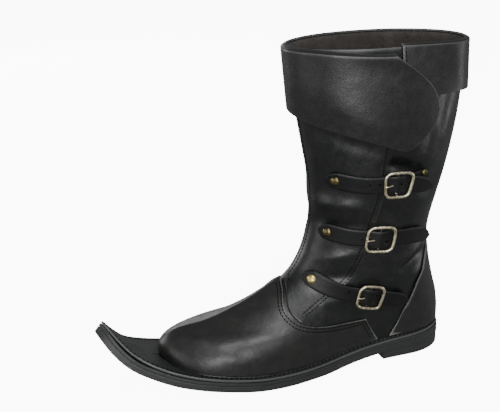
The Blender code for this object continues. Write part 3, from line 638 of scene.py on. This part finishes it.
strap_leather = waxed_leather("oiled_strap_leather", ("#050606", "#0b0c0c"), 0.50, grain=1.0,
                              tint="#0d0f0e", edge_core_and_highlight="#1c1d1d", shine=0.30)
for level in ("top", "middle", "bottom"):
    for kind in ("strap", "anchor"):
        node = kind + "_" + level
        strip = copy_of(node, node + "_leather", strap_leather, 2)
        if kind == "strap":
            for x, z in HOLES[level]:
                punch(strip, x, z)


# Buckles, prongs and rivets: cast and drawn brass with an antique finish, tarnished dark and
# rubbed bright in blotches. A prong turns on each frame's centre bar, and the domed rivets
# go through the leather. The bottom one is the brightest.

FRAME_SWELL = 0.0002       # how much stouter the cast frames are than their solids


def antique_brass(name, hollows, rounds):
    """Antique brass: blotches of tarnish, and soft glints where it is rubbed."""
    made, tree, shader, place = new_material(name)
    tarnish = add_node(tree, "ShaderNodeTexNoise",
                       {"Vector": place, "Scale": 1 / (3 * MM), "Detail": 5.0, "Roughness": 0.6})
    share = add_node(tree, "ShaderNodeMapRange",
                     {"Value": tarnish.outputs["Fac"], "From Min": 0.35, "From Max": 0.65})
    colour = add_node(tree, "ShaderNodeMix",
                      {"Factor": share.outputs["Result"], 6: linear(hollows),
                       7: linear(rounds)}, data_type="RGBA")
    rough = add_node(tree, "ShaderNodeMapRange",
                     {"Value": tarnish.outputs["Fac"], "To Min": 0.46, "To Max": 0.30})
    bump = add_node(tree, "ShaderNodeBump",
                    {"Height": tarnish.outputs["Fac"], "Strength": 0.2, "Distance": 0.0002})
    tree.links.new(colour.outputs[2], shader.inputs["Base Color"])
    tree.links.new(rough.outputs["Result"], shader.inputs["Roughness"])
    tree.links.new(bump.outputs["Normal"], shader.inputs["Normal"])
    shader.inputs["Metallic"].default_value = 1.0
    return made


def swell(piece, height):
    """Makes a cast frame stouter all round, and its back bar a little more."""
    middle = sum(vertex.co.x for vertex in piece.data.vertices) / len(piece.data.vertices)
    ways = [(vertex, vertex.normal.copy()) for vertex in piece.data.vertices]
    for vertex, up in ways:
        vertex.co += up * height * (1 + smooth_step(vertex.co.x - middle, 0.006, 0.011))
    piece.data.update()


buckle_brass = antique_brass("rubbed_buckle_brass", "#a39870", "#f6efd8")
rivet_brass = antique_brass("dark_rivet_brass", "#4b4630", "#857a52")
# The bottom rivet gets a lighter, yellower brass than the other two.
bright_brass = antique_brass("lighter_rivet_brass", "#b0964c", "#f4e29a")
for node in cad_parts:
    if node.startswith(("buckle", "rivet", "anchor_rivet")):
        is_rivet = "rivet" in node
        brass = rivet_brass if is_rivet else buckle_brass
        if node == "rivet_bottom":
            brass = bright_brass
        fitting = copy_of(node, node + "_brass", brass, 2, hold=0.5 if is_rivet else 0.0)
        if not is_rivet and "pin" not in node:
            swell(fitting, FRAME_SWELL)


# The studio: white paper under the boot and a dim, even room. The large soft boxes in front and
# above give the leather its wide lights, and weaker ones at the sides, behind and at the inner
# side pick out the folds, the crest of the vamp and the back of the shaft.

PICTURE_WIDTH = 500
FOCAL_PX = 1030.7          # of a picture this wide
DISTANCE = 0.950           # from the camera to the target
AZIMUTH, ELEVATION = math.radians(-22.0), math.radians(20.39)
TARGET = Vector((-0.125, 0.0, 0.150))
SHIFT = (-0.0802, 0.0196)  # how far the picture is off the lens's middle, in shares of its width
SENSOR = 36.0              # the usual width, in millimetres
FLOOR_SIZE = 24.0
FLOOR_DROP = 0.0002        # the paper lies this far under the sole, so that the two don't mix

bpy.ops.mesh.primitive_plane_add(size=FLOOR_SIZE, location=(0, 0, -FLOOR_DROP))
floor = bpy.context.object
floor.name = "floor"
# Matt white paper: its glow keeps it white to the eye and throws no light on the leather.
paper, _, shader, _ = new_material("matt_white_paper")
shader.inputs["Base Color"].default_value = linear("#f7f7f7")
shader.inputs["Roughness"].default_value = 0.9
shader.inputs["Emission Color"].default_value = linear("#ffffff")
shader.inputs["Emission Strength"].default_value = 10.0
floor.data.materials.append(paper)
floor.visible_glossy = False
floor.visible_diffuse = False

world = bpy.data.worlds.new("dim_studio")
world.use_nodes = True
world.node_tree.nodes["Background"].inputs["Color"].default_value = linear("#ffffff")
world.node_tree.nodes["Background"].inputs["Strength"].default_value = 0.25
bpy.context.scene.world = world

Lamp = namedtuple("Lamp", "name place aim size power")
LAMPS = (
    Lamp("softbox_front", (-0.6, -1.9, 0.5), (-0.12, 0, 0.12), 0.9, 27.5),
    Lamp("softbox_high", (0.0, -1.1, 1.7), (-0.12, 0, 0.08), 0.8, 21.0),
    Lamp("softbox_left", (-1.7, -0.5, 0.3), (-0.12, 0, 0.12), 0.9, 6.0),
    Lamp("softbox_right", (1.3, -0.45, 0.15), (-0.02, 0, 0.12), 0.6, 3.0),
    Lamp("softbox_back", (-0.2, 1.6, 0.5), (-0.12, 0, 0.12), 0.8, 4.5),
    Lamp("softbox_inner", (-1.2, 1.0, 0.4), (-0.05, 0, 0.15), 0.7, 7.0),
)
for lamp in LAMPS:
    light = bpy.data.lights.new(lamp.name, "AREA")
    light.shape = "SQUARE"
    light.size = lamp.size
    light.energy = lamp.power
    held = bpy.data.objects.new(lamp.name, light)
    bpy.context.scene.collection.objects.link(held)
    held.location = lamp.place
    held.rotation_mode = "QUATERNION"
    held.rotation_quaternion = (Vector(lamp.aim) - Vector(lamp.place)).to_track_quat("-Z", "Y")

# The way from the target back to the camera.
back = Vector((math.sin(AZIMUTH) * math.cos(ELEVATION), -math.cos(AZIMUTH) * math.cos(ELEVATION),
               math.sin(ELEVATION)))
camera = bpy.data.objects.new("camera", bpy.data.cameras.new("camera"))
bpy.context.scene.collection.objects.link(camera)
camera.location = TARGET + back * DISTANCE
camera.rotation_mode = "QUATERNION"
camera.rotation_quaternion = (-back).to_track_quat("-Z", "Y")
camera.data.sensor_width = SENSOR
camera.data.lens = FOCAL_PX / PICTURE_WIDTH * SENSOR
camera.data.shift_x, camera.data.shift_y = SHIFT
bpy.context.scene.camera = camera
